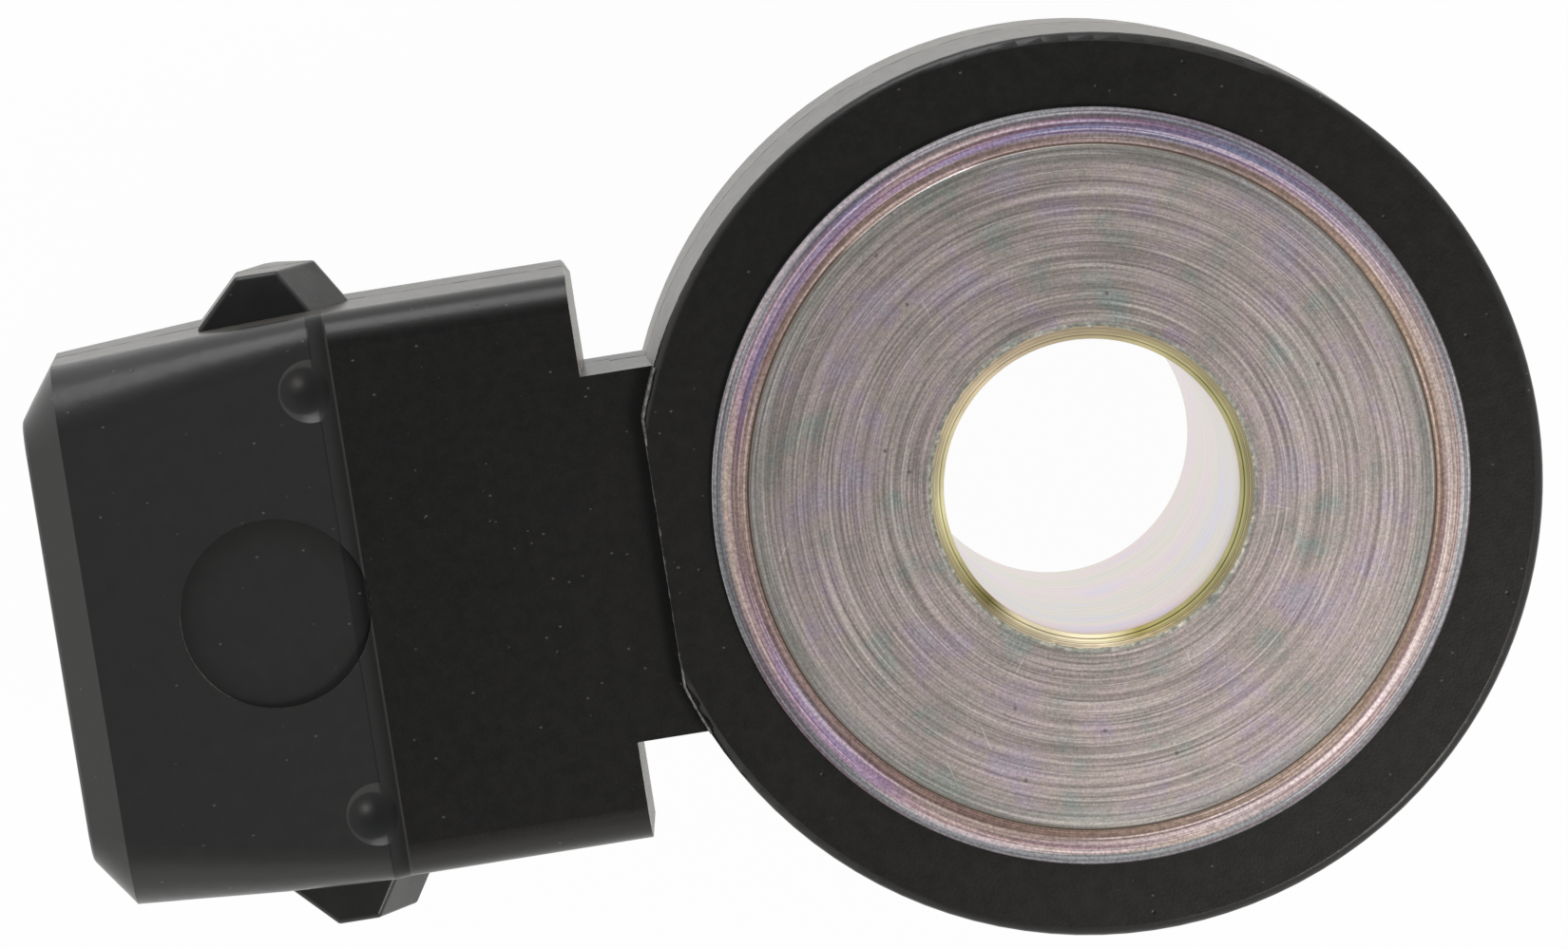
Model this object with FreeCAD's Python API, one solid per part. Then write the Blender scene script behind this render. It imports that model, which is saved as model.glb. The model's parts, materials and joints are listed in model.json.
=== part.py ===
import FreeCAD, Part
import math
import os

Vector = FreeCAD.Vector

# Engine knock sensor, flat response type: a ring that is bolted to the engine block,
# with a two way plug socket moulded to its side.
# +Z is the outward normal of the metal contact face, +X points out of the socket's mouth,
# and the origin is on the bore axis, in the contact face. Sizes are in millimetres.

# Metal bushing
bore_radius = 4.2
bushing_wall = 2.0
bore_chamfer_width = 0.25
bore_chamfer_depth = 0.35
plateau_radius = 9.74
plateau_step = 0.08
border_width = 1.03
border_drop = 0.22
flange_thickness = 3.0
end_chamfer = 0.3
seal_groove_width = 0.45
seal_groove_depth = 0.35
seal_groove_pitch = 0.9
seal_groove_count = 2
flange_groove_start = 0.95
end_groove_start = 0.65
bushing_standout = 0.7

# Sensing stack, clamped between the flange and the nut
tube_wall = 0.3
stack_clearance = 0.1
insulator_thickness = 0.25
insulator_width = 3.3
contact_thickness = 0.3
contact_width = 3.0
piezo_thickness = 3.0
piezo_width = 3.0
mass_thickness = 4.0
mass_width = 3.1
spring_thickness = 0.5
spring_rise = 0.3
spring_width = 2.6
nut_thickness = 2.6
nut_sides = 6
nut_across_flats = 15.6
nut_chamfer_height = 0.5
nut_chamfer_width = 1.0
nut_cover = 2.8

# Terminals and the resistor across them
terminal_pitch = 5.0
blade_width = 2.8
blade_thickness = 0.8
blade_tip_length = 1.2
blade_tip_width = 1.7
blade_tip_thickness = 0.35
blade_setback = 4.8
blade_anchor = 1.6
tail_width = 1.4
tail_inset = 1.2
tail_overlap = 1.9
tab_width = 1.6
tab_clearance = 0.45
tab_joggle_length = 0.9
resistor_length = 3.0
resistor_radius = 0.85
resistor_lead_width = 0.6
resistor_lead_thickness = 0.4
resistor_gap = 0.4

# Moulded ring and hub
ring_wall = 2.1
ring_face_depth = 0.5
ring_parting_bulge = 0.09
ring_parting_depth = 4.8
ring_edge_radius = 0.25
ring_back_edge_radius = 0.8
ring_flat_cut = 0.59
hub_wall = 1.5
hub_taper = 0.5
hub_root_radius = 0.6
hub_end_radius = 1.2

# Moulded neck and socket
neck_gap = 0.73
neck_half_width = 5.28
neck_drop = 0.8
neck_depth = 5.9
step_length = 0.5
collar_length = 7.4
lead_in_length = 4.3
lead_in_edge_radius = 1.4
bevel_length = 1.05
bevel_height = 0.95
bevel_side = 1.45
bevel_edge_radius = 0.3
socket_width = 11.0
socket_height = 7.0
socket_depth = 12.0
socket_corner_radius = 1.1
socket_chamfer = 0.25
side_wall = 2.65
face_wall = 1.4
collar_rise = 0.3
lead_in_narrowing = 0.1
mouth_narrowing = 0.35
near_edge_radius = 1.0
back_edge_radius = 2.0
mouth_near_edge_radius = 2.0
mouth_back_edge_radius = 3.0
rear_wall_chamfer = 0.2
rear_wall_draft = 0.24
key_rib_width = 1.0
key_rib_height = 0.5
key_rib_spacing = 6.4

# Marks on the broad face and the latch lugs on the narrow sides
recess_radius = 2.71
recess_depth = 0.35
recess_setback = 2.16
dimple_radius = 0.9
dimple_depth = 0.32
dimple_offset = 6.1
dimple_setback = 0.2
lug_height = 1.28
lug_top_length = 2.25
lug_front_run = 1.27
lug_back_run = 0.8
lug_setback = 4.27
lug_span = 4.2
lug_corner_run = 1.1
lug_far_top_length = 0.35
lug_middle_span = 0.4
lug_edge_radius = 0.15
merge = 0.5

# Places worked out from the sizes above
bushing_radius = bore_radius + bushing_wall
flange_radius = plateau_radius + border_width
flange_edge_depth = plateau_step + border_drop
tube_radius = bushing_radius + tube_wall
stack_inner_radius = tube_radius + stack_clearance
mass_inner_radius = bushing_radius + stack_clearance

flange_insulator_top = -flange_thickness
flange_contact_top = flange_insulator_top - insulator_thickness
piezo_top = flange_contact_top - contact_thickness
mass_contact_top = piezo_top - piezo_thickness
mass_insulator_top = mass_contact_top - contact_thickness
mass_top = mass_insulator_top - insulator_thickness
spring_top = mass_top - mass_thickness
nut_top = spring_top - spring_thickness - spring_rise
nut_bottom = nut_top - nut_thickness
hub_bottom = nut_bottom - nut_cover
bushing_bottom = hub_bottom - bushing_standout

contact_outer_radius = stack_inner_radius + contact_width
mass_outer_radius = mass_inner_radius + mass_width

ring_radius = flange_radius + ring_wall
neck_top = -(ring_face_depth + neck_drop)
collar_half_height = socket_height / 2 + face_wall
rear_half_height = collar_half_height - collar_rise
socket_plane = neck_top - rear_half_height
ring_bottom = socket_plane - rear_half_height
hub_radius = mass_outer_radius + hub_wall

block_half_width = socket_width / 2 + side_wall
block_start = ring_radius + neck_gap
tail_start = ring_radius - tail_inset
tab_end = tail_start + tail_overlap
resistor_place = tab_end + resistor_gap + resistor_radius
blade_root = resistor_place + resistor_radius + resistor_gap
socket_floor = blade_root + blade_anchor
mouth_end = socket_floor + socket_depth
blade_tip = mouth_end - blade_setback
collar_end = mouth_end - bevel_length
collar_start = collar_end - collar_length
step_start = collar_start - step_length


def in_row_plane(x):
    """Places outline points as y and z in the plane at x."""
    return lambda point: Vector(x, point.x, point.y)


def in_axis_plane(point):
    """Places outline points as radius and height in the plane of the bore axis."""
    return Vector(point.x, 0, point.y)


def rounded_outline(corners, place):
    """Closed wire through corners (u, v, radius), each rounded by a tangent arc."""
    points = [Vector(u, v, 0) for u, v, radius in corners]
    rounds = []
    for index, (u, v, radius) in enumerate(corners):
        corner = points[index]
        before = (points[index - 1] - corner).normalize()
        after = (points[(index + 1) % len(points)] - corner).normalize()
        if radius == 0:
            rounds.append((corner, corner, corner))
            continue
        half_angle = before.getAngle(after) / 2
        reach = radius / math.tan(half_angle)
        bisector = (before + after).normalize()
        centre = corner + bisector * (radius / math.sin(half_angle))
        rounds.append((corner + before * reach, centre - bisector * radius, corner + after * reach))
    edges = []
    for index, (start, middle, end) in enumerate(rounds):
        if start != end:
            edges.append(Part.Arc(place(start), place(middle), place(end)).toShape())
        following = rounds[(index + 1) % len(rounds)][0]
        edges.append(Part.LineSegment(place(end), place(following)).toShape())
    return Part.Wire(edges)


def revolved(corners):
    """Solid turned about the bore axis from corners (radius, height, rounding)."""
    profile = Part.Face(rounded_outline(corners, in_axis_plane))
    return profile.revolve(Vector(0, 0, 0), Vector(0, 0, 1), 360)


def washer(inner, outer, top, thickness):
    """Flat ring round the bore axis."""
    base = Vector(0, 0, top - thickness)
    return Part.makeCylinder(outer, thickness, base).cut(Part.makeCylinder(inner, thickness, base))


def box(low, high):
    """Box between two corners."""
    size = Vector(*high) - Vector(*low)
    return Part.makeBox(size.x, size.y, size.z, Vector(*low))


def groove_corners(radius, top):
    """Corners of square sealing grooves down a turned side, from the first groove's top."""
    corners = []
    for index in range(seal_groove_count):
        groove_top = top - index * seal_groove_pitch
        groove_bottom = groove_top - seal_groove_width
        corners.append((radius, groove_top, 0))
        corners.append((radius - seal_groove_depth, groove_top, 0))
        corners.append((radius - seal_groove_depth, groove_bottom, 0))
        corners.append((radius, groove_bottom, 0))
    return corners


def make_bushing():
    """Turned bushing: flange with the raised contact plateau, and the clamped tube."""
    mouth_radius = bore_radius + bore_chamfer_width
    near_face = [
        (bore_radius, -bore_chamfer_depth, 0),
        (mouth_radius, 0, 0),
        (plateau_radius, 0, 0),
        (plateau_radius, -plateau_step, 0),
        (flange_radius, -flange_edge_depth, 0),
    ]
    flange_side = groove_corners(flange_radius, -flange_groove_start)
    under_flange = [
        (flange_radius, -flange_thickness, 0),
        (bushing_radius, -flange_thickness, 0),
    ]
    tube_side = groove_corners(bushing_radius, nut_bottom - end_groove_start)
    far_end = [
        (bushing_radius, bushing_bottom + end_chamfer, 0),
        (bushing_radius - end_chamfer, bushing_bottom, 0),
        (mouth_radius, bushing_bottom, 0),
        (bore_radius, bushing_bottom + bore_chamfer_depth, 0),
    ]
    return revolved(near_face + flange_side + under_flange + tube_side + far_end)


def make_insulating_tube():
    """Thin tube that keeps the contacts and the piezo ring off the bushing."""
    return washer(bushing_radius, tube_radius, flange_insulator_top, flange_insulator_top - mass_top)


def make_insulator(top):
    """Insulating washer next to a contact ring."""
    return washer(tube_radius, tube_radius + insulator_width, top, insulator_thickness)


def make_contact(top, foot_level, side):
    """Contact ring with a joggled tab whose foot lies along the tail of its terminal."""
    ring = washer(stack_inner_radius, contact_outer_radius, top, contact_thickness)
    half = contact_thickness / 2
    start_level = top - half
    bend_start = contact_outer_radius + tab_clearance
    bend_end = bend_start + tab_joggle_length
    tab_start = (stack_inner_radius + contact_outer_radius) / 2
    slope = math.atan2(foot_level - start_level, tab_joggle_length)
    mitre = half * math.tan(slope / 2)
    upper = [
        (tab_start, start_level + half),
        (bend_start - mitre, start_level + half),
        (bend_end - mitre, foot_level + half),
        (tab_end, foot_level + half),
    ]
    lower = [
        (tab_end, foot_level - half),
        (bend_end + mitre, foot_level - half),
        (bend_start + mitre, start_level - half),
        (tab_start, start_level - half),
    ]
    low_side = side * terminal_pitch / 2 - tab_width / 2
    points = [Vector(x, low_side, z) for x, z in upper + lower]
    tab = Part.Face(Part.makePolygon(points + points[:1])).extrude(Vector(0, tab_width, 0))
    return ring.fuse(tab).removeSplitter()


def make_disc_spring():
    """Conical washer: its rim sits on the mass and its inner edge on the nut."""
    outer = mass_inner_radius + spring_width
    return revolved([
        (outer, spring_top, 0),
        (outer, spring_top - spring_thickness, 0),
        (mass_inner_radius, nut_top, 0),
        (mass_inner_radius, spring_top - spring_rise, 0),
    ])


def make_nut_body():
    """Hexagon of the clamping nut with its corners turned down at the outer end."""
    angle_step = math.radians(360 / nut_sides)
    corner_radius = nut_across_flats / 2 / math.cos(angle_step / 2)
    corner = Vector(corner_radius, 0, nut_top)
    points = []
    for index in range(nut_sides):
        turn = FreeCAD.Rotation(Vector(0, 0, 1), Radian=index * angle_step)
        points.append(turn.multVec(corner))
    prism = Part.Face(Part.makePolygon(points + points[:1])).extrude(Vector(0, 0, -nut_thickness))
    turned = revolved([
        (0, nut_top, 0),
        (corner_radius, nut_top, 0),
        (corner_radius, nut_bottom + nut_chamfer_height, 0),
        (corner_radius - nut_chamfer_width, nut_bottom, 0),
        (0, nut_bottom, 0),
    ])
    return prism.common(turned)


def make_clamp_nut():
    """Thin hexagon nut on the bushing's thread."""
    bore = Part.makeCylinder(bushing_radius, nut_thickness, Vector(0, 0, nut_bottom))
    return make_nut_body().cut(bore)


def make_terminal(side):
    """Flat blade with a tapered tip, its wide root and a narrow tail for the contact tab."""
    centre = side * terminal_pitch / 2
    low = socket_plane - blade_thickness / 2
    high = socket_plane + blade_thickness / 2
    tail = box((tail_start, centre - tail_width / 2, low), (blade_root, centre + tail_width / 2, high))
    tip_start = blade_tip - blade_tip_length
    blade = box((blade_root, centre - blade_width / 2, low), (tip_start, centre + blade_width / 2, high))
    ends = []
    for x, width, thickness in (
        (tip_start, blade_width, blade_thickness),
        (blade_tip, blade_tip_width, blade_tip_thickness),
    ):
        points = []
        for u, v in ((-1, -1), (1, -1), (1, 1), (-1, 1), (-1, -1)):
            points.append(Vector(x, centre + u * width / 2, socket_plane + v * thickness / 2))
        ends.append(Part.makePolygon(points))
    tip = Part.makeLoft(ends, True, True)
    return tail.fuse([blade, tip]).removeSplitter()


def make_shunt_resistor():
    """Small round resistor with a flat lead lying on each terminal's tail."""
    tail_face = socket_plane + blade_thickness / 2
    axis_level = tail_face + resistor_lead_thickness / 2
    start = Vector(resistor_place, -resistor_length / 2, axis_level)
    body = Part.makeCylinder(resistor_radius, resistor_length, start, Vector(0, 1, 0))
    reach = terminal_pitch / 2 + tail_width / 2
    lead = box(
        (resistor_place - resistor_lead_width / 2, -reach, tail_face),
        (resistor_place + resistor_lead_width / 2, reach, tail_face + resistor_lead_thickness),
    )
    return body.fuse(lead).removeSplitter()


def make_ring_and_hub():
    """Outer form of the moulded ring round the flange, and the narrower hub behind it."""
    parting_level = -ring_face_depth - ring_parting_depth
    return revolved([
        (0, -ring_face_depth, 0),
        (ring_radius, -ring_face_depth, ring_edge_radius),
        (ring_radius + ring_parting_bulge, parting_level, 0),
        (ring_radius, ring_bottom, ring_back_edge_radius),
        (hub_radius, ring_bottom, hub_root_radius),
        (hub_radius - hub_taper, hub_bottom, hub_end_radius),
        (0, hub_bottom, 0),
    ])


def socket_section(x, half_width, half_height, near_radius, back_radius):
    """Outline of the socket's shell across its length."""
    return rounded_outline([
        (-half_width, socket_plane + half_height, near_radius),
        (half_width, socket_plane + half_height, near_radius),
        (half_width, socket_plane - half_height, back_radius),
        (-half_width, socket_plane - half_height, back_radius),
    ], in_row_plane(x))


def make_socket_shell():
    """Rear block, the step up to the thicker collar, and the bevelled mouth."""
    inset = rear_wall_chamfer
    lead_in_half_width = block_half_width - lead_in_narrowing
    mouth_half_width = block_half_width - mouth_narrowing
    lead_in_start = collar_end - lead_in_length
    sections = [
        socket_section(block_start, block_half_width - inset, rear_half_height - inset,
                       near_edge_radius - inset, back_edge_radius - inset),
        socket_section(block_start + inset, block_half_width, rear_half_height,
                       near_edge_radius, back_edge_radius),
        socket_section(step_start, block_half_width, rear_half_height,
                       near_edge_radius, back_edge_radius),
        socket_section(collar_start, block_half_width, collar_half_height,
                       near_edge_radius, back_edge_radius),
        socket_section(lead_in_start, lead_in_half_width, collar_half_height,
                       lead_in_edge_radius, back_edge_radius),
        socket_section(collar_end, mouth_half_width, collar_half_height,
                       mouth_near_edge_radius, mouth_back_edge_radius),
        socket_section(mouth_end, mouth_half_width - bevel_side, collar_half_height - bevel_height,
                       near_edge_radius, near_edge_radius),
    ]
    shell = Part.makeLoft(sections, True, True)
    middle_of_bevel = (collar_end + mouth_end) / 2
    mouth_edges = [edge for edge in shell.Edges if edge.BoundBox.XMin > middle_of_bevel]
    shell = shell.makeFillet(bevel_edge_radius, mouth_edges)
    return shell.cut([rear_wall_wedge(-1), rear_wall_wedge(1)])


def rear_wall_wedge(direction):
    """Wedge that leans the block's ring side wall back from the parting plane."""
    face_level = socket_plane + direction * collar_half_height
    outline = [
        (block_start, socket_plane),
        (block_start + rear_wall_draft, face_level),
        (block_start - merge, face_level),
        (block_start - merge, socket_plane),
    ]
    reach = block_half_width + merge
    points = [Vector(x, -reach, z) for x, z in outline]
    return Part.Face(Part.makePolygon(points + points[:1])).extrude(Vector(0, 2 * reach, 0))


def make_neck():
    """Short neck between the ring and the socket's block."""
    return box(
        (plateau_radius, -neck_half_width, neck_top - neck_depth),
        (block_start + merge, neck_half_width, neck_top),
    )


def make_ring_flat():
    """Room that squares off the ring's raised face where the neck begins."""
    return box(
        (ring_radius - ring_flat_cut, -neck_half_width - merge, neck_top),
        (block_start, neck_half_width + merge, 0),
    )


def lug_section(side, level, front_cut, back_cut):
    """Outline of a latch lug across its span, with its front and back ends cut short."""
    foot = block_half_width - merge
    top = block_half_width + lug_height
    front = collar_end - lug_setback
    top_end = front - lug_front_run
    top_start = top_end - lug_top_length
    back = top_start - lug_back_run
    outline = [
        (front - front_cut, foot),
        (front - front_cut, block_half_width),
        (top_end - front_cut, top),
        (top_start + back_cut, top),
        (back + back_cut, block_half_width),
        (back + back_cut, foot),
    ]
    points = [Vector(x, side * y, level) for x, y in outline]
    return Part.makePolygon(points + points[:1])


def make_lug(side):
    """Latch lug: a ramped wedge whose corners are cut back toward its two ends."""
    near = socket_plane + lug_span / 2
    far = socket_plane - lug_span / 2
    far_front_cut = lug_top_length - lug_corner_run - lug_far_top_length
    lug = Part.makeLoft([
        lug_section(side, near, 0, lug_corner_run),
        lug_section(side, socket_plane + lug_middle_span / 2, 0, 0),
        lug_section(side, socket_plane - lug_middle_span / 2, 0, 0),
        lug_section(side, far, far_front_cut, lug_corner_run),
    ], True, True).removeSplitter()
    foot = block_half_width - merge / 2
    outer_edges = []
    for edge in lug.Edges:
        if all(abs(vertex.Y) > foot for vertex in edge.Vertexes):
            outer_edges.append(edge)
    return lug.makeFillet(lug_edge_radius, outer_edges)


def make_socket_room():
    """Room inside the socket, with a small chamfer at its mouth and two key ribs left standing."""
    half_width = socket_width / 2
    half_height = socket_height / 2
    radius = socket_corner_radius
    straight = [
        socket_section(socket_floor, half_width, half_height, radius, radius),
        socket_section(mouth_end - socket_chamfer, half_width, half_height, radius, radius),
        socket_section(mouth_end, half_width + socket_chamfer, half_height + socket_chamfer, radius, radius),
    ]
    room = Part.makeLoft(straight, True, True)
    back_level = socket_plane - half_height
    for side in (-1, 1):
        centre = side * key_rib_spacing / 2
        rib = box(
            (socket_floor, centre - key_rib_width / 2, back_level),
            (blade_tip, centre + key_rib_width / 2, back_level + key_rib_height),
        )
        room = room.cut(rib)
    return room


def make_face_marks():
    """Shallow round recess on the collar and a scooped dimple at each end of the step."""
    collar_face = socket_plane + collar_half_height
    recess_centre = Vector(collar_start + recess_setback, 0, collar_face - recess_depth)
    recess = Part.makeCylinder(recess_radius, recess_depth + merge, recess_centre)
    ball_radius = (dimple_radius ** 2 + dimple_depth ** 2) / (2 * dimple_depth)
    marks = [recess]
    for side in (-1, 1):
        place = (collar_start + dimple_setback, side * dimple_offset)
        centre = Vector(*place, collar_face - dimple_depth + ball_radius)
        marks.append(Part.makeSphere(ball_radius, centre))
    return marks


def make_stack_room():
    """Room that the clamped stack fills inside the moulding."""
    levels = [
        (flange_insulator_top, insulator_thickness, tube_radius + insulator_width),
        (flange_contact_top, contact_thickness, contact_outer_radius),
        (piezo_top, piezo_thickness, stack_inner_radius + piezo_width),
        (mass_contact_top, contact_thickness, contact_outer_radius),
        (mass_insulator_top, insulator_thickness, tube_radius + insulator_width),
        (mass_top, mass_thickness, mass_outer_radius),
        (spring_top, spring_top - nut_top, mass_inner_radius + spring_width),
    ]
    rooms = [make_nut_body()]
    for top, thickness, radius in levels:
        rooms.append(Part.makeCylinder(radius, thickness, Vector(0, 0, top - thickness)))
    return rooms


def make_housing(enclosed):
    """Moulded ring, hub, neck and socket in one piece, formed round what it encloses."""
    ring = make_ring_and_hub().cut(make_ring_flat())
    outer = ring.fuse([make_neck(), make_socket_shell(), make_lug(-1), make_lug(1)])
    bore = Part.makeCylinder(bore_radius, -bushing_bottom, Vector(0, 0, bushing_bottom))
    rooms = [bore, make_socket_room()] + make_face_marks() + make_stack_room() + enclosed
    return outer.cut(rooms).removeSplitter()


terminal_face = socket_plane + blade_thickness / 2 + contact_thickness / 2
terminal_back = socket_plane - blade_thickness / 2 - contact_thickness / 2

nodes = {
    "metal_bushing": make_bushing(),
    "insulating_tube": make_insulating_tube(),
    "flange_insulator": make_insulator(flange_insulator_top),
    "flange_contact": make_contact(flange_contact_top, terminal_face, -1),
    "piezo_ring": washer(stack_inner_radius, stack_inner_radius + piezo_width, piezo_top, piezo_thickness),
    "mass_contact": make_contact(mass_contact_top, terminal_back, 1),
    "mass_insulator": make_insulator(mass_insulator_top),
    "seismic_mass": washer(mass_inner_radius, mass_outer_radius, mass_top, mass_thickness),
    "disc_spring": make_disc_spring(),
    "clamp_nut": make_clamp_nut(),
    "terminal_left": make_terminal(-1),
    "terminal_right": make_terminal(1),
    "shunt_resistor": make_shunt_resistor(),
}
moulded_in = [
    "metal_bushing",
    "flange_contact",
    "mass_contact",
    "terminal_left",
    "terminal_right",
    "shunt_resistor",
]
nodes["moulded_housing"] = make_housing([nodes[name] for name in moulded_in])

os.makedirs("parts", exist_ok=True)
for name, shape in nodes.items():
    solids = shape.Solids
    if not shape.isValid() or not solids:
        raise ValueError(name + " is not a closed solid")
    whole = solids[0] if len(solids) == 1 else Part.makeCompound(solids)
    whole.exportStep("parts/" + name + ".step")
    print(name, len(solids), round(whole.Volume, 2))
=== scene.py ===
import json
import math
import random

import bmesh
import bpy
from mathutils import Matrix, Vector, noise


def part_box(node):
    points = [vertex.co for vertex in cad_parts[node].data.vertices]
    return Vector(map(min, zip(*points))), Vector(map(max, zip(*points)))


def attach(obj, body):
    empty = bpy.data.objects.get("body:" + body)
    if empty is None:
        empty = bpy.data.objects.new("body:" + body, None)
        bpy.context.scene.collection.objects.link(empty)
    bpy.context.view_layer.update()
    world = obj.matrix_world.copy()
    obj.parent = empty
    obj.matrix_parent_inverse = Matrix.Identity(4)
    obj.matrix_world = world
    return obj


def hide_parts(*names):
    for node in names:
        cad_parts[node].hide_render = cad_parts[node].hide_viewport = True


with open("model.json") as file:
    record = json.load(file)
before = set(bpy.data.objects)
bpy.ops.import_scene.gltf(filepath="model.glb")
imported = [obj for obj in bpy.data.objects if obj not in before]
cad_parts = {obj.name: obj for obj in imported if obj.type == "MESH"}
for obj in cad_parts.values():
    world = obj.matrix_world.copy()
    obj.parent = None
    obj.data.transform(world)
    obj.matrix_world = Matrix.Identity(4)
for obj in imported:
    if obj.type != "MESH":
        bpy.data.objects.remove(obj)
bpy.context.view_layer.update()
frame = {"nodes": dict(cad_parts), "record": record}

# Every length below is written in millimetres and turned into metres where a mesh is made.
MM = 0.001

# Sizes that come with the frame
mounts = {mount["name"]: mount for mount in frame["record"]["mounts"]}
bore_radius = mounts["bolt_bore"]["dims"]["r_mm"]
bushing_low, bushing_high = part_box("metal_bushing")
flange_radius = bushing_high[0] / MM
bushing_bottom = bushing_low[2] / MM
ring_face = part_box("moulded_housing")[1][2] / MM

# Turned bushing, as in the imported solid
plateau_radius = flange_radius - 1.03
plateau_step = 0.08
border_drop = 0.22
bore_chamfer_depth = 0.35
flange_thickness = 3.0
bushing_radius = bore_radius + 2.0
end_chamfer = 0.3

# The bore's mouth, as wide as it is seen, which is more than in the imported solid
bore_chamfer_width = 0.38
mouth_radius = bore_radius + bore_chamfer_width
chamfer_rings = 3
ring_groove = 0.018
torn_reach = 0.14
torn_shift = 0.04
torn_rise = 0.01

# Turning marks: how many circles are modelled, how far apart the marks lie and how deep they are
turned_steps = 400
face_circles = 116
face_pitch = 0.16
face_mark_depth = 0.0012
border_circles = 34
border_pitch = 0.085
border_mark_depth = 0.03
wall_circles = 8

# Moulding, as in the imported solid
ring_radius = flange_radius + 2.1
ring_flat = ring_radius - 0.59
parting_level = ring_face - 4.8
neck_level = ring_face - 0.8
neck_half_width = 5.28
socket_plane = neck_level - 4.6
step_start = 20.72
step_width = 0.5
dimple_centre = (21.6, 6.13)
dimple_radius = 0.6

# Lines that the mould leaves
seam_half_width = 0.12
flash_thickness = 0.07

# The photograph's camera
camera_place = (15.791, -26.831, 258.620)
camera_turn = (-5.2246, -2.4342, 171.1436)
camera_lens = 211.401
sensor_width = 36.0

# Light tent: brightness round the horizon and straight overhead
horizon_level = 0.95
overhead_level = 0.13

# Share of white that a metal face mirrors when it looks up into the tent
tent_level = 0.52

# White sheet on the floor, and the share of plain white that the camera sees on it
sheet_radius = 1600
sheet_share = 0.97

# Edges sharper than this stay sharp
sharp_angle = math.radians(35)


def linear(red, green, blue):
    """Colour as the shaders want it, from the 0 to 255 values seen on a screen."""
    values = []
    for value in (red, green, blue):
        part = value / 255
        values.append(part / 12.92 if part < 0.04045 else ((part + 0.055) / 1.055) ** 2.4)
    return (*values, 1.0)


def film(red, green, blue):
    """Base colour of a bright metal that is seen in this colour when it mirrors the tent."""
    seen = linear(red, green, blue)
    return (*[min(value / tent_level, 1.0) for value in seen[:3]], 1.0)


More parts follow.
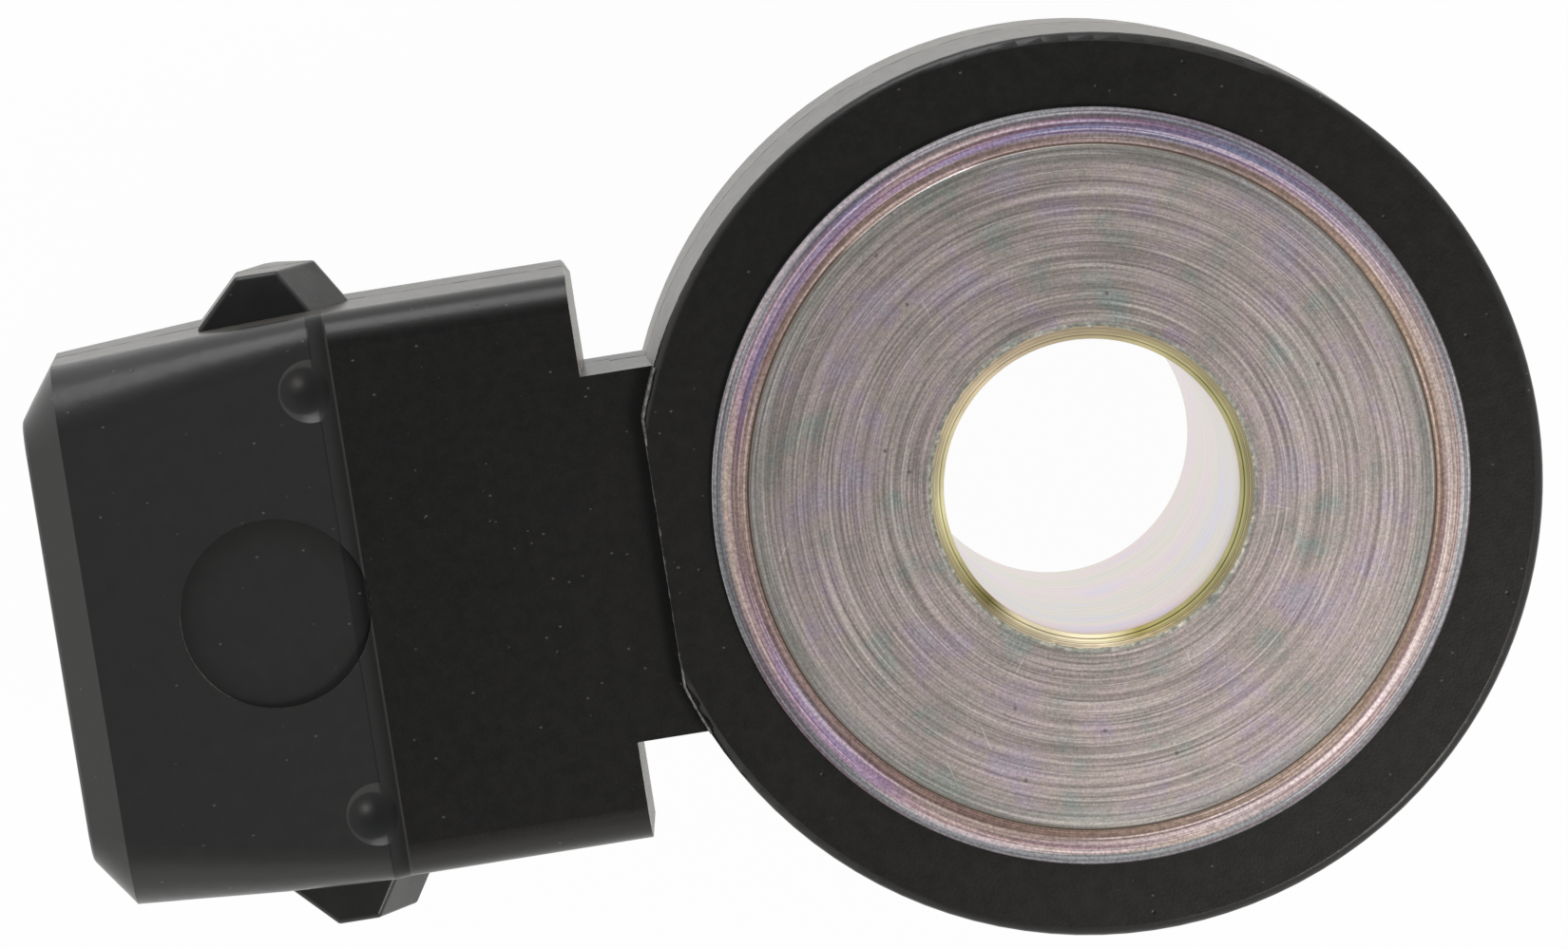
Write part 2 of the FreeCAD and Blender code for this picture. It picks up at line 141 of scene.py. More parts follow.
class Finish:
    """A node material while it is being put together, with patterns laid out in millimetres."""

    def __init__(self, name, metallic=0.0):
        self.material = bpy.data.materials.new(name)
        self.material.use_nodes = True
        self.tree = self.material.node_tree
        self.shader = self.tree.nodes["Principled BSDF"]
        self.shader.inputs["Metallic"].default_value = metallic
        coordinates = self.tree.nodes.new("ShaderNodeTexCoord")
        self.place = self.vector("SCALE", coordinates.outputs["Object"], scale=1 / MM)

    def feed(self, socket, value):
        """Links a socket to another node's output, or sets its value."""
        if isinstance(value, bpy.types.NodeSocket):
            self.tree.links.new(value, socket)
        else:
            socket.default_value = value

    def vector(self, operation, first, second=(0, 0, 0), scale=1.0):
        """One step of arithmetic on vectors, which gives a number for a length or a dot product."""
        made = self.tree.nodes.new("ShaderNodeVectorMath")
        made.operation = operation
        self.feed(made.inputs[0], first)
        if operation == "SCALE":
            self.feed(made.inputs["Scale"], scale)
        elif operation not in ("LENGTH", "NORMALIZE"):
            self.feed(made.inputs[1], second)
        return made.outputs["Value" if operation in ("LENGTH", "DOT_PRODUCT") else "Vector"]

    def math(self, operation, first, second=0.0):
        """One step of arithmetic on numbers."""
        made = self.tree.nodes.new("ShaderNodeMath")
        made.operation = operation
        for socket, value in zip(made.inputs, (first, second)):
            self.feed(socket, value)
        return made.outputs["Value"]

    def noise(self, vector, scale, detail=2.0, roughness=0.5):
        """Cloudy pattern from 0 to 1."""
        made = self.tree.nodes.new("ShaderNodeTexNoise")
        made.inputs["Scale"].default_value = scale
        made.inputs["Detail"].default_value = detail
        made.inputs["Roughness"].default_value = roughness
        self.feed(made.inputs["Vector"], vector)
        return made.outputs["Fac"]

    def cells(self, vector, scale):
        """Scattered points: the distance to the nearest one and a random number for each."""
        made = self.tree.nodes.new("ShaderNodeTexVoronoi")
        made.inputs["Scale"].default_value = scale
        self.feed(made.inputs["Vector"], vector)
        lot = self.tree.nodes.new("ShaderNodeSeparateColor")
        self.feed(lot.inputs["Color"], made.outputs["Color"])
        return made.outputs["Distance"], lot.outputs["Red"]

    def between(self, value, low, high, to_low=0.0, to_high=1.0):
        """Value stretched from one range to another and held inside it."""
        made = self.tree.nodes.new("ShaderNodeMapRange")
        made.interpolation_type = "SMOOTHSTEP"
        for name, number in zip(("Value", "From Min", "From Max", "To Min", "To Max"),
                                (value, low, high, to_low, to_high)):
            self.feed(made.inputs[name], number)
        return made.outputs["Result"]

    def ramp(self, factor, stops):
        """Colours along a factor from (position, colour) stops."""
        made = self.tree.nodes.new("ShaderNodeValToRGB")
        band = made.color_ramp
        for _ in stops[2:]:
            band.elements.new(0.5)
        for element, (position, colour) in zip(band.elements, stops):
            element.position = position
            element.color = colour
        self.feed(made.inputs["Fac"], factor)
        return made.outputs["Color"]

    def blend(self, factor, first, second, kind="MIX"):
        """First colour turning into the second as the factor goes from 0 to 1."""
        made = self.tree.nodes.new("ShaderNodeMix")
        made.data_type = "RGBA"
        made.blend_type = kind
        self.feed(made.inputs["Factor"], factor)
        self.feed(made.inputs["A"], first)
        self.feed(made.inputs["B"], second)
        return made.outputs["Result"]

    def shade(self, colour, factor, low, high):
        """Colour made darker or lighter as a pattern goes from 0 to 1."""
        level = self.between(factor, 0.3, 0.7, low, high)
        return self.blend(1.0, colour, level, "MULTIPLY")

    def patch(self, chosen_share, scale, inner, outer, stretch=(1.0, 1.0, 1.0), turn=0.0):
        """Mask of small scattered marks, stretched and turned about the bore axis."""
        spun = self.tree.nodes.new("ShaderNodeVectorRotate")
        spun.rotation_type = "Z_AXIS"
        spun.inputs["Angle"].default_value = turn
        self.feed(spun.inputs["Vector"], self.place)
        laid = self.vector("MULTIPLY", spun.outputs["Vector"], stretch)
        distance, lot = self.cells(laid, scale)
        chosen = self.math("LESS_THAN", lot, chosen_share)
        return self.math("MULTIPLY", chosen, self.between(distance, inner, outer, 1.0, 0.0))

    def part_of_place(self, axis):
        """One coordinate, in millimetres."""
        split = self.tree.nodes.new("ShaderNodeSeparateXYZ")
        self.feed(split.inputs[0], self.place)
        return split.outputs[axis]

    def relief(self, height, depth, normal=None):
        """Bump from a height of 0 to 1, whose full depth is given in millimetres."""
        made = self.tree.nodes.new("ShaderNodeBump")
        made.inputs["Distance"].default_value = depth * MM
        self.feed(made.inputs["Height"], height)
        if normal is not None:
            self.feed(made.inputs["Normal"], normal)
        return made.outputs["Normal"]

    def set(self, **values):
        """Feeds the shader's sockets, with an underscore for each space in a name."""
        for name, value in values.items():
            self.feed(self.shader.inputs[name.replace("_", " ")], value)
        return self.material

    def radius(self):
        """Distance from the bore axis."""
        flat = self.vector("MULTIPLY", self.place, (1, 1, 0))
        return self.vector("LENGTH", flat)

    def round_the_bore(self, along, across):
        """Coordinates that run along the turned circles and across them."""
        flat = self.vector("MULTIPLY", self.place, (1, 1, 0))
        circle = self.vector("SCALE", self.vector("NORMALIZE", flat), scale=along)
        made = self.tree.nodes.new("ShaderNodeCombineXYZ")
        self.feed(made.inputs["Z"], self.math("MULTIPLY", self.radius(), across))
        return self.vector("ADD", circle, made.outputs["Vector"])


def glass_filled_nylon():
    """Charcoal moulding compound: smooth skin that mirrors at a glance, pale flecks and pits."""
    finish = Finish("glass_filled_nylon")
    broad = finish.noise(finish.place, 0.12, 3.0)
    fine = finish.noise(finish.place, 7.0, 3.0, 0.6)
    tone = finish.ramp(broad, [(0.35, linear(11, 11, 11)), (0.65, linear(17, 16, 16))])
    tone = finish.blend(finish.between(fine, 0.35, 0.75, 0.0, 0.3), tone, linear(28, 28, 29))
    # Painted light: the collar is painted a lighter charcoal than the rear block, standing in for the
    # brighter light that falls on it.
    collar = finish.between(finish.part_of_place("X"), step_start, step_start + step_width, 0.0, 0.8)
    tone = finish.blend(collar, tone, linear(40, 41, 41))
    fleck = finish.patch(0.25, 2.2, 0.05, 0.13, (1.0, 1.35, 1.0))
    tone = finish.blend(finish.math("MULTIPLY", fleck, 0.13), tone, linear(190, 186, 180))
    seam = finish.math("MAXIMUM", ring_seam(finish), block_seam(finish))
    tone = finish.blend(finish.math("MULTIPLY", seam, 0.8), tone, linear(10, 9, 8))
    pit = finish.patch(0.22, 1.6, 0.04, 0.12)
    grain = finish.relief(finish.noise(finish.place, 10.0, 3.0, 0.6), 0.003)
    normal = finish.relief(finish.math("SUBTRACT", 1.0, pit), 0.006, grain)
    roughness = finish.between(finish.noise(finish.place, 2.5, 4.0, 0.6), 0.3, 0.7, 0.29, 0.33)
    roughness = finish.math("ADD", roughness, finish.math("MULTIPLY", seam, 0.5))
    stain = finish.between(finish.noise(finish.place, 0.9, 4.0, 0.65), 0.25, 0.6, 0.14, 0.0)
    on_side = finish.between(finish.part_of_place("Z"), neck_level - 1.1, neck_level - 0.9, 1.0, 0.0)
    gloss = finish.math("SUBTRACT", 0.5, finish.math("MULTIPLY", stain, on_side))
    gloss = finish.math("MULTIPLY", gloss, dull_spots(finish))
    return finish.set(Base_Color=tone, Roughness=roughness, Normal=normal,
                      Specular_IOR_Level=gloss, Specular_Tint=(1.0, 0.98, 0.94, 1.0),
                      Sheen_Weight=0.45, Sheen_Roughness=0.14, Sheen_Tint=(0.95, 0.86, 0.72, 1.0))


def dull_spots(finish):
    """Share of the gloss that is left: less on the collar's step and in its two dimples."""
    along = finish.part_of_place("X")
    past_start = finish.between(along, step_start + 0.02, step_start + 0.1, 0.0, 1.0)
    step_end = step_start + step_width
    before_end = finish.between(along, step_end, step_end + 0.1, 1.0, 0.0)
    on_step = finish.math("MULTIPLY", past_start, before_end)
    on_top = finish.math("GREATER_THAN", finish.part_of_place("Z"), neck_level - 1.6)
    past_dimple = finish.math("SUBTRACT", along, dimple_centre[0])
    side = finish.math("ABSOLUTE", finish.part_of_place("Y"))
    beside_dimple = finish.math("SUBTRACT", side, dimple_centre[1])
    squares = finish.math("ADD", finish.math("MULTIPLY", past_dimple, past_dimple),
                          finish.math("MULTIPLY", beside_dimple, beside_dimple))
    from_centre = finish.math("SQRT", squares)
    in_dimple = finish.between(from_centre, dimple_radius, dimple_radius + 0.15, 1.0, 0.0)
    spot = finish.math("MULTIPLY", finish.math("MAXIMUM", on_step, in_dimple), on_top)
    return finish.between(spot, 0.0, 1.0, 1.0, 0.35)


def seam_line(finish, level):
    """Mask of a thin wavering line at a height."""
    sway = finish.between(finish.noise(finish.place, 0.8, 3.0), 0.3, 0.7, -0.05, 0.05)
    height = finish.math("ADD", finish.part_of_place("Z"), sway)
    off = finish.math("ABSOLUTE", finish.math("SUBTRACT", height, level))
    broken = finish.between(finish.noise(finish.place, 1.4, 3.0), 0.42, 0.55, 0.15, 1.0)
    line = finish.between(off, seam_half_width / 2, seam_half_width, 1.0, 0.0)
    return finish.math("MULTIPLY", broken, line)


def ring_seam(finish):
    """Parting line round the ring's side."""
    near_side = finish.math("GREATER_THAN", finish.radius(), ring_radius - 0.3)
    before_block = finish.math("LESS_THAN", finish.part_of_place("X"), ring_radius)
    return finish.math("MULTIPLY", seam_line(finish, parting_level),
                       finish.math("MULTIPLY", near_side, before_block))


def block_seam(finish):
    """Parting line along the socket's narrow sides."""
    beyond_ring = finish.math("GREATER_THAN", finish.part_of_place("X"), ring_radius)
    return finish.math("MULTIPLY", seam_line(finish, socket_plane), beyond_ring)


def flash_plastic():
    """Thin flash at the mould's joints, painted paler as a highlight where its rounded bead catches
    the light.
    """
    finish = Finish("flash_plastic")
    # Painted highlight: the pale tones stand in for the light that the bead catches.
    tone = finish.ramp(finish.noise(finish.place, 5.0, 3.0), [
        (0.35, linear(62, 61, 60)),
        (0.7, linear(128, 126, 122)),
    ])
    roughness = finish.between(finish.noise(finish.place, 9.0), 0.3, 0.7, 0.35, 0.5)
    return finish.set(Base_Color=tone, Roughness=roughness)


def turned_face():
    """Plated and passivated contact face: taupe with mauve and green clouds and turning lines."""
    finish = Finish("turned_face", metallic=1.0)
    tone = finish.ramp(finish.noise(finish.place, 0.42, 4.0, 0.62), [
        (0.34, film(130, 136, 133)),
        (0.44, film(145, 137, 133)),
        (0.52, film(153, 142, 139)),
        (0.6, film(149, 137, 145)),
        (0.7, film(147, 142, 150)),
    ])
    edge = finish.between(finish.radius(), plateau_radius - 0.7, plateau_radius - 0.25, 0.0, 0.6)
    tone = finish.blend(edge, tone, film(126, 128, 124))
    broad = finish.noise(finish.round_the_bore(0.8, 2.2), 1.0, 2.0, 0.5)
    tone = finish.shade(tone, broad, 0.95, 1.04)
    lines = finish.noise(finish.round_the_bore(1.3, 14.0), 1.0, 2.0, 0.6)
    tone = finish.shade(tone, lines, 0.84, 1.13)
    fine_lines = finish.noise(finish.round_the_bore(1.6, 27.0), 1.0, 2.0, 0.6)
    tone = finish.shade(tone, fine_lines, 0.87, 1.1)
    bright = finish.noise(finish.round_the_bore(1.5, 10.0), 1.0, 1.0, 0.5)
    tone = finish.blend(finish.between(bright, 0.6, 0.66, 0.0, 0.35), tone, film(190, 184, 178))
    hatch = finish.noise(finish.round_the_bore(46.0, 7.0), 1.0, 2.0, 0.6)
    tone = finish.shade(tone, hatch, 0.93, 1.06)
    grain = finish.noise(finish.place, 13.0, 2.0, 0.7)
    tone = finish.shade(tone, grain, 0.84, 1.15)
    # Torn burr beyond the mouth: pale flakes, with dark green painted shade between them.
    burr = finish.between(finish.radius(), mouth_radius + 0.04, mouth_radius + 0.17, 0.85, 0.0)
    torn = finish.noise(finish.round_the_bore(26.0, 8.0), 1.0, 3.0, 0.7)
    burr_flakes_and_shade = finish.ramp(torn, [
        (0.36, film(116, 124, 114)),
        (0.5, film(142, 144, 136)),
        (0.64, film(186, 186, 174)),
    ])
    tone = finish.blend(burr, tone, burr_flakes_and_shade)
    marks = finish.patch(0.14, 1.6, 0.05, 0.14)
    tone = finish.blend(finish.math("MULTIPLY", marks, 0.55), tone, linear(70, 76, 74))
    normal = finish.relief(hatch, 0.003)
    for turn, share in ((0.35, 0.1), (1.3, 0.12), (2.2, 0.08), (2.9, 0.06)):
        scratch = finish.patch(share, 1.0, 0.03, 0.1, (0.17, 5.0, 0.4), turn)
        tone = finish.blend(finish.math("MULTIPLY", scratch, 0.6), tone, film(205, 200, 190))
    # Painted shade: the lip is darkened all round except the short part that faces the light.
    lip = finish.between(finish.radius(), plateau_radius - 0.08, plateau_radius - 0.03, 0.0, 0.8)
    tone = finish.blend(finish.math("MULTIPLY", lip, lip_painted_shade(finish)), tone, film(76, 72, 64))
    roughness = finish.between(lines, 0.3, 0.7, 0.33, 0.4)
    return finish.set(Base_Color=tone, Roughness=roughness, Normal=normal)


def lip_painted_shade(finish):
    """1 where painted shade darkens the lip round the contact face, 0 in the short part that faces the
    light and is left to shine.
    """
    toward = finish.vector("DOT_PRODUCT", finish.place, (0.407, -0.914, 0.0))
    return finish.between(finish.math("DIVIDE", toward, plateau_radius), 0.965, 0.985, 1.0, 0.0)


def border_rings():
    """Coarser turned border of the flange, from golden brown through lilac to blue grey."""
    finish = Finish("border_rings", metallic=1.0)
    swing = finish.noise(finish.round_the_bore(1.3, 1.2), 1.0, 3.0, 0.6)
    tone = finish.ramp(swing, [
        (0.3, film(116, 122, 146)),
        (0.42, film(124, 112, 138)),
        (0.5, film(130, 110, 128)),
        (0.6, film(138, 120, 122)),
        (0.72, film(144, 132, 122)),
    ])
    # Painted reflection: the border turns cream toward the lower-right side, where it mirrors the
    # lamp.
    toward = finish.vector("DOT_PRODUCT", finish.place, (-0.8, 0.6, 0.0))
    cream = finish.between(finish.math("DIVIDE", toward, flange_radius), -0.1, 0.75, 0.0, 0.75)
    tone = finish.blend(cream, tone, film(146, 136, 126))
    across = finish.between(finish.radius(), plateau_radius, flange_radius)
    inner = finish.between(across, 0.12, 0.3, 0.8, 0.0)
    tone = finish.blend(inner, tone, film(126, 108, 94))
    outer = finish.between(across, 0.78, 0.86, 0.0, 0.85)
    tone = finish.blend(outer, tone, film(106, 110, 114))
    lines = finish.noise(finish.round_the_bore(0.7, 9.0), 1.0, 3.0, 0.7)
    tone = finish.shade(tone, lines, 0.55, 1.28)
    grooves = finish.noise(finish.round_the_bore(0.5, 7.0), 1.7, 1.0, 0.5)
    tone = finish.blend(finish.between(grooves, 0.56, 0.62, 0.0, 0.6), tone, film(88, 66, 72))
    ridges = finish.between(grooves, 0.4, 0.34, 0.0, 0.55)
    tone = finish.blend(ridges, tone, film(180, 168, 170))
    speckle = finish.noise(finish.place, 11.0, 3.0, 0.7)
    tone = finish.shade(tone, speckle, 0.74, 1.3)
    # Painted shade: the lip is darkened all round except the short part that faces the light.
    lip = finish.between(finish.radius(), plateau_radius + 0.03, plateau_radius + 0.06, 0.85, 0.0)
    tone = finish.blend(finish.math("MULTIPLY", lip, lip_painted_shade(finish)), tone, film(66, 58, 48))
    return finish.set(Base_Color=tone, Roughness=0.58)


def bore_chamfer():
    """Film on the chamfer at the bore's mouth: olive gold with fine rings, with a painted highlight in
    cream at its lower end and painted shade in dark olive either side of it.
    """
    finish = Finish("bore_chamfer", metallic=1.0)
    # Painted light round the chamfer: a cream painted highlight at the lower end and dark olive
    # painted shade either side of it, over the film's own olive gold and pink.
    angle = finish.math("ARCTAN2", finish.part_of_place("Y"), finish.part_of_place("X"))
    turn = finish.between(angle, -math.pi, math.pi)
    tone = finish.ramp(turn, [
        (0.0, linear(184, 178, 128)),
        (0.24, linear(208, 190, 162)),
        (0.5, linear(220, 212, 166)),
        (0.66, linear(138, 128, 76)),
        (0.71, linear(238, 226, 186)),
        (0.8, linear(240, 228, 192)),
        (0.87, linear(136, 126, 74)),
        (0.97, linear(184, 178, 128)),
    ])
    swing = finish.noise(finish.round_the_bore(2.5, 1.2), 1.0, 3.0, 0.5)
    tone = finish.shade(tone, swing, 0.8, 1.16)
    across = finish.between(finish.radius(), bore_radius, mouth_radius)
    outer = finish.between(across, 0.62, 0.74, 0.0, 0.4)
    tone = finish.blend(outer, tone, linear(188, 168, 148))
    wave = finish.math("SINE", finish.math("MULTIPLY", across, math.tau * chamfer_rings))
    tone = finish.shade(tone, finish.between(wave, -1.0, 0.6, 0.3, 0.7), 0.7, 1.08)
    return finish.set(Base_Color=tone, Roughness=0.36)


def bore_wall():
    """Bright bore wall with a pale pink, cream and lilac film."""
    finish = Finish("bore_wall", metallic=1.0)
    stretched = finish.vector("MULTIPLY", finish.place, (0.2, 0.2, 0.3))
    tone = finish.ramp(finish.noise(stretched, 1.0, 3.0, 0.5), [
        (0.3, linear(204, 196, 218)),
        (0.44, linear(222, 200, 200)),
        (0.56, linear(212, 206, 188)),
        (0.7, linear(206, 200, 218)),
    ])
    rings = finish.noise(finish.vector("MULTIPLY", finish.place, (0.05, 0.05, 4.0)), 1.0, 3.0)
    tone = finish.shade(tone, rings, 0.93, 1.03)
    normal = finish.relief(rings, 0.004)
    return finish.set(Base_Color=tone, Roughness=0.24, Normal=normal)


def bare_metal(name, dark, light, roughness):
    """Turned or rolled metal of the hidden pieces, with fine lines round the bore."""
    finish = Finish(name, metallic=1.0)
    lines = finish.noise(finish.round_the_bore(2.0, 8.0), 1.0, 3.0, 0.6)
    tone = finish.ramp(lines, [(0.35, dark), (0.65, light)])
    dulled = finish.between(finish.noise(finish.place, 3.0), 0.3, 0.7, roughness, roughness + 0.12)
    return finish.set(Base_Color=tone, Roughness=dulled)


def tinned_blade():
    """Satin tin plate with faint drawing lines along the blades."""
    finish = Finish("tinned_blade", metallic=1.0)
    drawn = finish.noise(finish.vector("MULTIPLY", finish.place, (0.6, 14.0, 14.0)), 1.0, 3.0)
    tone = finish.ramp(drawn, [(0.35, linear(176, 174, 170)), (0.65, linear(204, 202, 198))])
    roughness = finish.between(drawn, 0.3, 0.7, 0.3, 0.45)
    return finish.set(Base_Color=tone, Roughness=roughness, Normal=finish.relief(drawn, 0.004))


def fired_body(name, dark, light):
    """Fired ceramic with a fine speckle."""
    finish = Finish(name)
    speckle = finish.noise(finish.place, 6.0, 4.0, 0.6)
    tone = finish.ramp(speckle, [(0.35, dark), (0.65, light)])
    return finish.set(Base_Color=tone, Roughness=0.55, Normal=finish.relief(speckle, 0.01))


def amber_film():
    """Amber insulating film."""
    finish = Finish("amber_film")
    waves = finish.noise(finish.place, 1.2, 2.0)
    tone = finish.ramp(waves, [(0.35, linear(150, 88, 22)), (0.65, linear(186, 120, 40))])
    return finish.set(Base_Color=tone, Roughness=0.25)


def dress_node(name, material):
    """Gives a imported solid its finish."""
    for slot in frame["nodes"][name].material_slots:
        slot.material = material


def turning_marks(radius, pitch, depth):
    """Height of the turned surface at a radius, in millimetres below the true face."""
    wide = noise.noise(Vector((radius / pitch, 3.7, 0.0)))
    narrow = noise.noise(Vector((radius / pitch * 2.3, 9.1, 0.0)))
    return -depth * (0.5 + 0.3 * wide + 0.2 * narrow)


def chamfer_points():
    """Section of the bore's chamfer, with a shallow groove between each two of its rings."""
    points = [(bore_radius, -bore_chamfer_depth)]
    for ring in range(chamfer_rings):
        for share, rise in ((ring + 0.06, ring_groove), (ring + 0.94, -ring_groove)):
            radius = bore_radius + bore_chamfer_width * share / chamfer_rings
            height = -bore_chamfer_depth * (1 - share / chamfer_rings) + rise
            points.append((radius, height))
    points.append((mouth_radius, 0.0))
    return points


def face_points():
    """Section of the turned contact face up to its rounded lip."""
    points = []
    for step in range(1, face_circles):
        radius = mouth_radius + (plateau_radius - mouth_radius) * step / face_circles
        points.append((radius, turning_marks(radius, face_pitch, face_mark_depth)))
    points.append((plateau_radius - 0.05, 0.0))
    points.append((plateau_radius - 0.01, -0.02))
    points.append((plateau_radius + 0.02, -0.06))
    return points


def border_points():
    """Section of the coarser border, which falls away to the flange's edge."""
    border_width = flange_radius - plateau_radius
    points = []
    for step in range(1, border_circles):
        share = step / border_circles
        radius = plateau_radius + border_width * share
        height = -plateau_step - border_drop * share
        points.append((radius, height + turning_marks(radius, border_pitch, border_mark_depth)))
    return points


def hidden_points():
    """Section from the flange's edge round the far end and back up the bore's wall."""
    wall_top = -bore_chamfer_depth
    wall_bottom = bushing_bottom + bore_chamfer_depth
    points = [
        (flange_radius, -plateau_step - border_drop),
        (flange_radius, -flange_thickness),
        (bushing_radius, -flange_thickness),
        (bushing_radius, bushing_bottom + end_chamfer),
        (bushing_radius - end_chamfer, bushing_bottom),
        (mouth_radius, bushing_bottom),
        (bore_radius, wall_bottom),
    ]
    for step in range(1, wall_circles):
        points.append((bore_radius, wall_bottom + (wall_top - wall_bottom) * step / wall_circles))
    return points


def finish_mesh(mesh_builder, name):
    """Object at the origin from a bmesh, smooth but for its sharp edges."""
    mesh = bpy.data.meshes.new(name)
    mesh_builder.to_mesh(mesh)
    mesh_builder.free()
    mesh.shade_smooth()
    mesh.set_sharp_from_angle(angle=sharp_angle)
    piece = bpy.data.objects.new(name, mesh)
    bpy.context.scene.collection.objects.link(piece)
    return piece


def turned_bushing():
    """The bushing turned with its real grooves and the torn burr at the bore's mouth."""
    builder = bmesh.new()
    outline = chamfer_points() + face_points() + border_points() + hidden_points()
    points = [builder.verts.new((radius * MM, 0, height * MM)) for radius, height in outline]
    edges = []
    for index, point in enumerate(points):
        edges.append(builder.edges.new((points[index - 1], point)))
    bmesh.ops.spin(builder, geom=points + edges, cent=(0, 0, 0), axis=(0, 0, 1),
                   angle=math.tau, steps=turned_steps, use_merge=True)
    bmesh.ops.remove_doubles(builder, verts=builder.verts, dist=1e-7)
    bmesh.ops.recalc_face_normals(builder, faces=builder.faces)
    tear_mouth(builder)
    piece = finish_mesh(builder, "turned_bushing")
    zone_finishes(piece)
    return piece


def tear_mouth(builder):
    """Roughens the outer edge of the bore's chamfer, which the tool has torn."""
    for vertex in builder.verts:
        radius = math.hypot(vertex.co.x, vertex.co.y) / MM
        height = vertex.co.z / MM
        in_reach = mouth_radius - 0.01 < radius < mouth_radius + torn_reach
        if not in_reach or height < -0.1:
            continue
        angle = math.atan2(vertex.co.y, vertex.co.x)
        around = Vector((math.cos(angle), math.sin(angle), 0.3)) * 17
        rough = noise.noise(around) + 0.6 * noise.noise(around * 2.7)
        nearness = 1 - abs(radius - mouth_radius) / torn_reach
        shift = 1 + torn_shift * rough * nearness / radius
        vertex.co.x *= shift
        vertex.co.y *= shift
        vertex.co.z += torn_rise * rough * nearness * MM


def zone_finishes(piece):
    """Face, border, chamfer and bore wall each take their own film colour."""
    for material in (turned_face(), border_rings(), bore_chamfer(), bore_wall()):
        piece.data.materials.append(material)
    face_zone, border_zone, chamfer_zone, wall_zone = range(4)
    for face in piece.data.polygons:
        centre = face.center / MM
        radius = math.hypot(centre.x, centre.y)
        if radius > plateau_radius and centre.z > -flange_thickness / 2:
            face.material_index = border_zone
        elif radius < bore_radius + 0.02:
            face.material_index = wall_zone
        elif radius < mouth_radius - 0.01:
            face.material_index = chamfer_zone
        else:
            face.material_index = face_zone


def flash_line(name, points, seed):
    """Thin uneven bead of flash along points in millimetres."""
    chance = random.Random(seed)
    curve = bpy.data.curves.new(name, "CURVE")
    curve.dimensions = "3D"
    curve.bevel_depth = flash_thickness / 2 * MM
    curve.bevel_resolution = 2
    curve.use_fill_caps = True
    spline = curve.splines.new("POLY")
    spline.points.add(len(points) - 1)
    for point, place in zip(spline.points, points):
        point.co = (*[value * MM for value in place], 1.0)
        point.radius = 0.75 + 0.5 * chance.random()
    rough = bpy.data.objects.new(name + "_path", curve)
    bpy.context.scene.collection.objects.link(rough)
    bpy.context.view_layer.update()
    mesh = bpy.data.meshes.new_from_object(rough)
    mesh.name = name
    bpy.data.objects.remove(rough)
    piece = bpy.data.objects.new(name, mesh)
    bpy.context.scene.collection.objects.link(piece)
    for face in mesh.polygons:
        face.use_smooth = True
    return piece


def arc_points(radius, height, start, end, steps):
    """Points along a level arc round the bore axis, with angles in degrees."""
    points = []
    for step in range(steps + 1):
        angle = math.radians(start + (end - start) * step / steps)
        points.append((radius * math.cos(angle), radius * math.sin(angle), height))
    return points


def neck_flash():
    """Flash where the ring's raised face meets the neck: two short arcs and the flat between."""
    side_angle = math.degrees(math.asin(neck_half_width / ring_radius))
    flat_angle = math.degrees(math.acos(ring_flat / ring_radius))
    arc_radius = ring_radius - 0.02
    arc_height = ring_face - 0.06
    points = arc_points(arc_radius, arc_height, side_angle, flat_angle, 12)
    half = ring_radius * math.sin(math.radians(flat_angle))
    steps = 40
    for step in range(1, steps):
        points.append((ring_flat - 0.02, half - 2 * half * step / steps, ring_face - 0.04))
    points += arc_points(arc_radius, arc_height, -flat_angle, -side_angle, 12)
    return flash_line("neck_flash", points, 3)


def make_camera():
    """Camera at the photograph's viewing angle."""
    data = bpy.data.cameras.new("photo_camera")
    data.sensor_width = sensor_width
    data.lens = camera_lens
    camera = bpy.data.objects.new("photo_camera", data)
    camera.location = [value * MM for value in camera_place]
    camera.rotation_euler = [math.radians(value) for value in camera_turn]
    bpy.context.scene.collection.objects.link(camera)
    bpy.context.scene.camera = camera


def white_for_views(tree, seen, lit, share):
    """Shows camera, mirror and glass rays a plain white, mixed with what lights the object."""
    path = tree.nodes.new("ShaderNodeLightPath")
    either = tree.nodes.new("ShaderNodeMath")
    either.operation = "MAXIMUM"
    tree.links.new(path.outputs["Is Camera Ray"], either.inputs[0])
    tree.links.new(path.outputs["Is Glossy Ray"], either.inputs[1])
    both = tree.nodes.new("ShaderNodeMath")
    both.operation = "MAXIMUM"
    tree.links.new(either.outputs[0], both.inputs[0])
    tree.links.new(path.outputs["Is Transmission Ray"], both.inputs[1])
    part = tree.nodes.new("ShaderNodeMath")
    part.operation = "MULTIPLY"
    part.inputs[1].default_value = share
    tree.links.new(both.outputs[0], part.inputs[0])
    mix = tree.nodes.new("ShaderNodeMixShader")
    tree.links.new(part.outputs[0], mix.inputs[0])
    tree.links.new(lit, mix.inputs[1])
    tree.links.new(seen, mix.inputs[2])
    return mix.outputs[0]


def make_floor():
    """White sheet under the sensor, which keeps a faint shadow."""
    builder = bmesh.new()
    bmesh.ops.create_circle(builder, cap_ends=True, radius=sheet_radius * MM, segments=96)
    bmesh.ops.translate(builder, verts=builder.verts, vec=(0, 0, bushing_bottom * MM))
    floor = finish_mesh(builder, "floor")
    material = bpy.data.materials.new("white_sheet")
    material.use_nodes = True
    tree = material.node_tree
    shader = tree.nodes["Principled BSDF"]
    shader.inputs["Base Color"].default_value = (0.9, 0.9, 0.9, 1.0)
    shader.inputs["Roughness"].default_value = 0.9
    shader.inputs["Specular IOR Level"].default_value = 0.1
    glow = tree.nodes.new("ShaderNodeEmission")
    output = tree.nodes["Material Output"]
    mixed = white_for_views(tree, glow.outputs[0], shader.outputs[0], sheet_share)
    tree.links.new(mixed, output.inputs["Surface"])
    floor.data.materials.append(material)


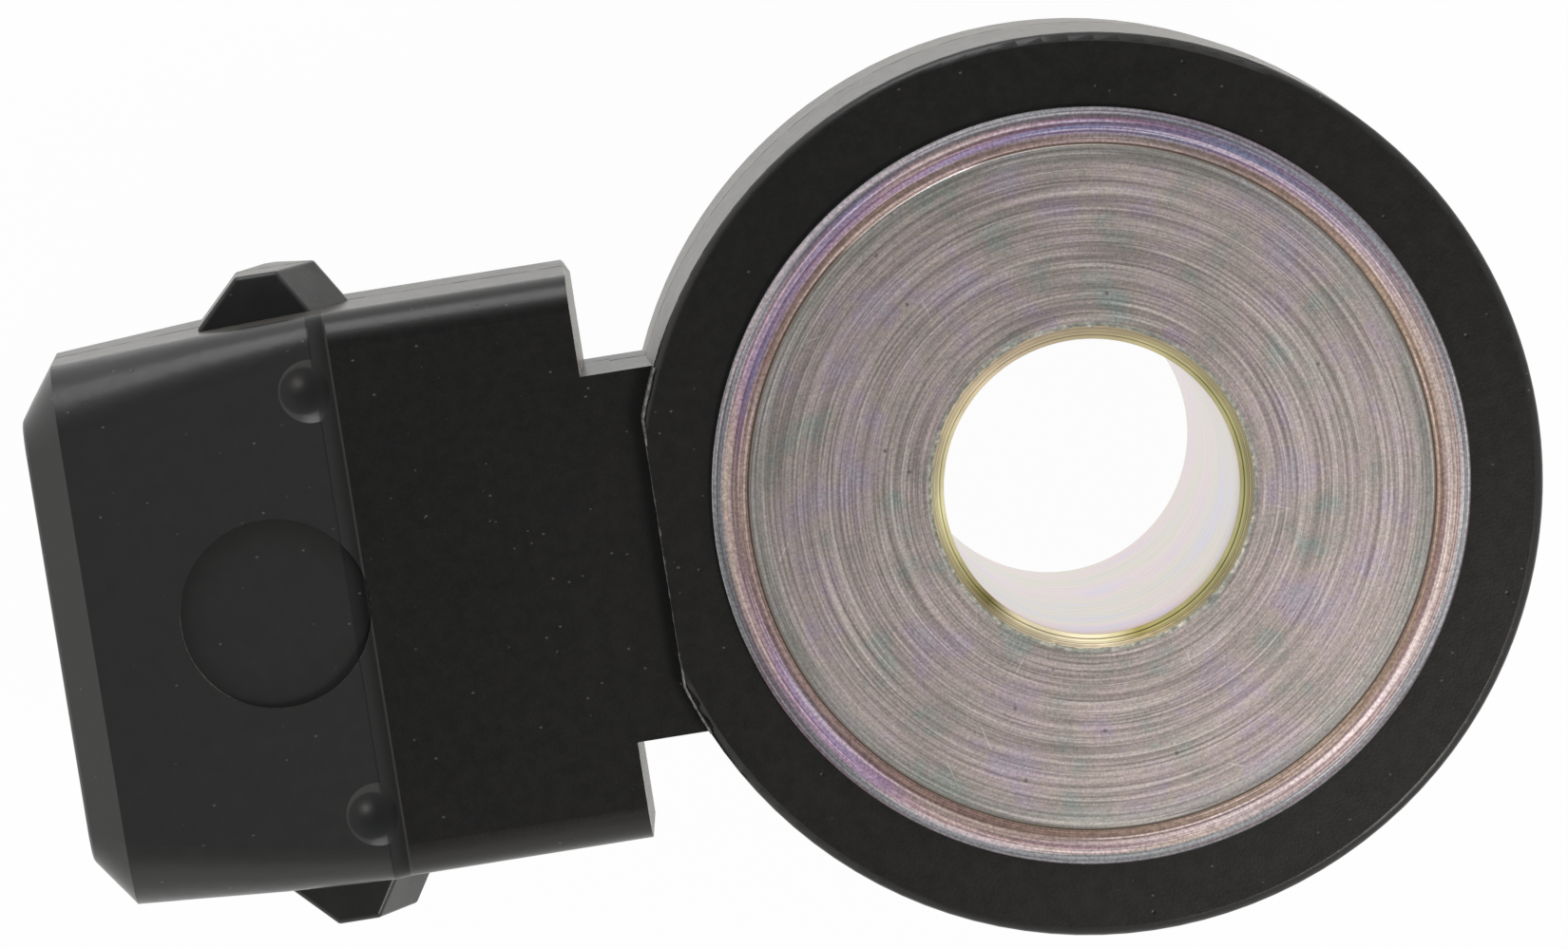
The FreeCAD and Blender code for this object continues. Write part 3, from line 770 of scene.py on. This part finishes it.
def make_world():
    """Light tent: darker straight overhead, where the camera looks in, and pale lower down."""
    world = bpy.data.worlds.new("light_tent")
    bpy.context.scene.world = world
    world.use_nodes = True
    tree = world.node_tree
    direction = tree.nodes.new("ShaderNodeTexCoord")
    split = tree.nodes.new("ShaderNodeSeparateXYZ")
    tree.links.new(direction.outputs["Generated"], split.inputs[0])
    height = tree.nodes.new("ShaderNodeMapRange")
    height.interpolation_type = "SMOOTHSTEP"
    height.inputs["From Min"].default_value = 0.5
    height.inputs["From Max"].default_value = 1.0
    height.inputs["To Min"].default_value = horizon_level
    height.inputs["To Max"].default_value = overhead_level
    tree.links.new(split.outputs["Z"], height.inputs["Value"])
    tent = tree.nodes["Background"]
    tree.links.new(height.outputs["Result"], tent.inputs["Strength"])
    tent.inputs["Color"].default_value = (1.0, 1.0, 1.0, 1.0)
    plain = tree.nodes.new("ShaderNodeBackground")
    path = tree.nodes.new("ShaderNodeLightPath")
    mix = tree.nodes.new("ShaderNodeMixShader")
    tree.links.new(path.outputs["Is Camera Ray"], mix.inputs[0])
    tree.links.new(tent.outputs[0], mix.inputs[1])
    tree.links.new(plain.outputs[0], mix.inputs[2])
    tree.links.new(mix.outputs[0], tree.nodes["World Output"].inputs["Surface"])


def soft_lamp(name, place, size, power, tint=(1.0, 1.0, 1.0)):
    """Square soft lamp that faces the sensor."""
    data = bpy.data.lights.new(name, "AREA")
    data.size = size * MM
    data.energy = power
    data.color = tint
    lamp = bpy.data.objects.new(name, data)
    lamp.location = [value * MM for value in place]
    lamp.rotation_euler = Vector(lamp.location).to_track_quat("Z", "Y").to_euler()
    lamp.visible_camera = False
    bpy.context.scene.collection.objects.link(lamp)


def make_lamps():
    """One cool lamp low behind the top edge, and a broad one over the lower right."""
    soft_lamp("back_lamp", (10, -260, 90), 160, 0.25, (0.9, 0.92, 1.0))
    soft_lamp("front_lamp", (-80, 100, 200), 70, 0.16, (1.0, 0.97, 0.94))


def dress_solids():
    """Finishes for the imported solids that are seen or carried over."""
    steel = bare_metal("bare_steel", linear(140, 140, 142), linear(176, 176, 176), 0.32)
    brass = bare_metal("rolled_brass", linear(190, 160, 96), linear(214, 188, 124), 0.28)
    amber = amber_film()
    piezo = fired_body("piezo_ceramic", linear(158, 148, 124), linear(186, 176, 150))
    resistor = fired_body("resistor_body", linear(188, 160, 120), linear(206, 182, 146))
    dress_node("moulded_housing", glass_filled_nylon())
    for name in ("terminal_left", "terminal_right"):
        dress_node(name, tinned_blade())
    for name in ("seismic_mass", "disc_spring", "clamp_nut"):
        dress_node(name, steel)
    for name in ("flange_contact", "mass_contact"):
        dress_node(name, brass)
    for name in ("insulating_tube", "flange_insulator", "mass_insulator"):
        dress_node(name, amber)
    dress_node("piezo_ring", piezo)
    dress_node("shunt_resistor", resistor)


def add_pieces():
    """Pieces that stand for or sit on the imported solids."""
    bushing = turned_bushing()
    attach(bushing, "root")
    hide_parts("metal_bushing")
    flash = neck_flash()
    flash.data.materials.append(flash_plastic())
    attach(flash, "root")


dress_solids()
add_pieces()
make_camera()
make_floor()
make_world()
make_lamps()
bpy.context.scene.view_settings.view_transform = "Standard"
